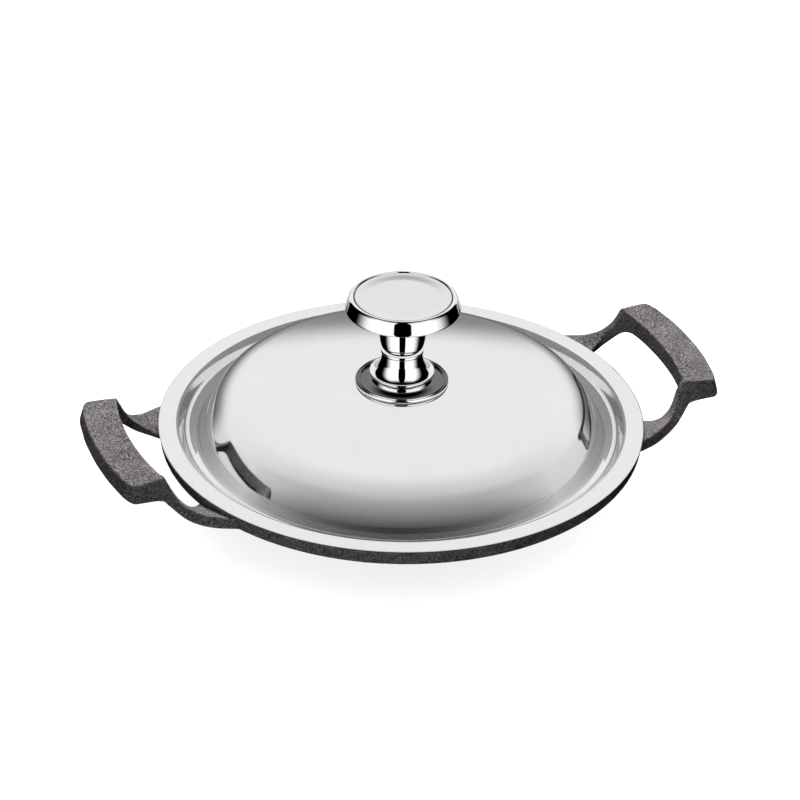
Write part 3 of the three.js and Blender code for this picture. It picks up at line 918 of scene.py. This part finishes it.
def bearing_cosine(degrees):
    """The cosine of a bearing from the camera in degrees."""
    return math.cos(math.radians(degrees))


def knob_bands(way, near, full, far, behind):
    """Brightness by bearing from the camera in degrees: dark ahead, white from near to full on both
    sides, fading out at far, dark again, and pale from behind on. The two results are the sides and the
    part behind."""
    level = way.node("ShaderNodeVectorMath", {"operation": "MULTIPLY"}, {0: way, 1: (1, 1, 0)})
    level = way.node("ShaderNodeVectorMath", {"operation": "NORMALIZE"}, {0: level})
    ahead = dotted(level, ground_view)
    sides = ahead.step(bearing_cosine(far), bearing_cosine(full))
    sides = sides * ahead.step(bearing_cosine(near - 1), bearing_cosine(near + 1))
    return sides, ahead.step(bearing_cosine(behind - 3), bearing_cosine(behind + 3))


def knob_tent_glow(name, sides_level, behind_level):
    """Bands of light that let everything else through."""
    material, output, place = bare_finish(name)
    way = place.node("ShaderNodeVectorMath", {"operation": "SUBTRACT"}, {0: place, 1: (0, 0, head_low.z)})
    rise = dotted(way, (0, 0, 1 / knob_tent_radius))
    sides, behind = knob_bands(way, 16.5, 62, 100, 136)
    sides = sides * rise.step(0.99, 0.8) * sides_level
    behind = behind * rise.step(0.9, 0.6) * (rise.step(-0.06, 0.06) * 0.55 + 0.45) * behind_level
    glow = sides + behind
    light = glow.node("ShaderNodeEmission", {}, {"Color": glow})
    clear = glow.node("ShaderNodeBsdfTransparent", {}, {})
    place.feed(output, {"Surface": glow.node("ShaderNodeAddShader", {}, {0: light, 1: clear})})
    return material


def card_glow():
    """The knob's bands from above, and clear from below."""
    material, output, place = bare_finish("card_glow")
    sides, behind = knob_bands(place, 13.5, 48, 84, 138)
    above = place.node("ShaderNodeEmission", {}, {"Color": sides * 1.2 + behind * 0.6})
    clear = place.node("ShaderNodeBsdfTransparent", {}, {})
    under = place.node("ShaderNodeNewGeometry", {}, {}, "Backfacing")
    place.feed(output, {"Surface": place.node("ShaderNodeMixShader", {}, {0: under, 1: above, 2: clear})})
    return material


def flag_glow():
    """Grey by bearing from the camera: nearly black ahead, palest at about 55 degrees and mid grey
    behind."""
    material, output, place = bare_finish("flag_glow")
    level = place.node("ShaderNodeVectorMath", {"operation": "MULTIPLY"}, {0: place, 1: (1, 1, 0)})
    level = place.node("ShaderNodeVectorMath", {"operation": "NORMALIZE"}, {0: level})
    ahead = dotted(level, ground_view) * 0.5 + 0.5
    grey = place.node("ShaderNodeValToRGB", {"stops": flag_levels}, {"Fac": ahead})
    dark = place.node("ShaderNodeEmission", {}, {"Color": grey})
    clear = place.node("ShaderNodeBsdfTransparent", {}, {})
    place.feed(output, {"Surface": place.node("ShaderNodeMixShader", {}, {0: 0.9, 1: clear, 2: dark})})
    return material


def card_surface():
    """A ring that follows the crown a gap above it, and runs level where it would pass below the grips'
    tops."""
    radius = np.linspace(card_outside, card_inside, 24)
    height = np.maximum(crown_height + card_gap - crown_sag(radius), card_floor)
    profile = np.stack([radius, height], axis=-1)
    return turned(profile, 96, ring=False)


def knob_tent(name, wider, sides_level, behind_level, members):
    """A dome about the knob's head, a little wider than the first, that lights some pieces only."""
    arch = bend_points((0, head_low.z), knob_tent_radius * wider, up, knob_tent_foot, 21)
    glow = knob_tent_glow(name + "_glow", sides_level, behind_level)
    made = piece(name, [turned(arch, tent_segments, ring=False)], glow)
    made.light_linking.receiver_collection = linked(name + "_lit", members)
    return made


side_tent = knob_tent("knob_side_tent", 1.0, 1.2, 0.0, knob_pieces)
back_tent = knob_tent("knob_back_tent", 1.05, 0.0, 0.97, knob_pieces[1:])
dim_tent = knob_tent("knob_dim_tent", 1.1, 0.0, 0.2, [rosette])
card = piece("crown_card", [card_surface()], card_glow())
flag_profile = np.array([(flag_outside, flag_height), (flag_inside, flag_height)])
flag = piece("trough_flag", [turned(flag_profile, 96, ring=False)], flag_glow())
for hidden in (side_tent, back_tent, dim_tent, card, flag):
    hidden.visible_camera = False
    hidden.visible_diffuse = False
    hidden.visible_shadow = False
for member in knob_pieces[1:] + [groove_shade, screw]:
    member.visible_glossy = False

# Lamps
# One soft panel high behind lights the iron's tops and a weak low one in front its sides. A third shows in
# the knob's plate from above, and a wide lamp without shadows lifts the floor to white.


def panel(name, place, size, power, members):
    """A square lamp that faces the middle of the table and shines on some pieces only."""
    data = bpy.data.lights.new(name, "AREA")
    data.size = size
    data.energy = power
    lamp = bpy.data.objects.new(name, data)
    bpy.context.scene.collection.objects.link(lamp)
    lamp.location = place
    lamp.rotation_euler = Vector(place).to_track_quat("Z", "Y").to_euler()
    lamp.visible_camera = False
    lamp.visible_glossy = False
    lamp.light_linking.receiver_collection = linked(name + "_lit", members)
    return lamp


panel("back_panel", (0.55, 1.43, 1.84), 1.5, 275, [casting, seal])
panel("front_panel", (-1.06, -1.63, 0.52), 1.5, 38, [casting, seal])
plate_panel = panel("plate_panel", (0, 0, 2.2), 2.8, 25, [plate])
plate_panel.visible_glossy = True
floor_lamp = panel("floor_lamp", (0, 0, 3.0), 3.0, 125, [floor])
floor_lamp.data.use_shadow = False

world = bpy.data.worlds.new("white_surround")
world.use_nodes = True
world.node_tree.nodes["Background"].inputs["Color"].default_value = (1, 1, 1, 1)
world.cycles.sampling_method = "NONE"
bpy.context.scene.world = world
bpy.context.scene.view_settings.view_transform = "Standard"
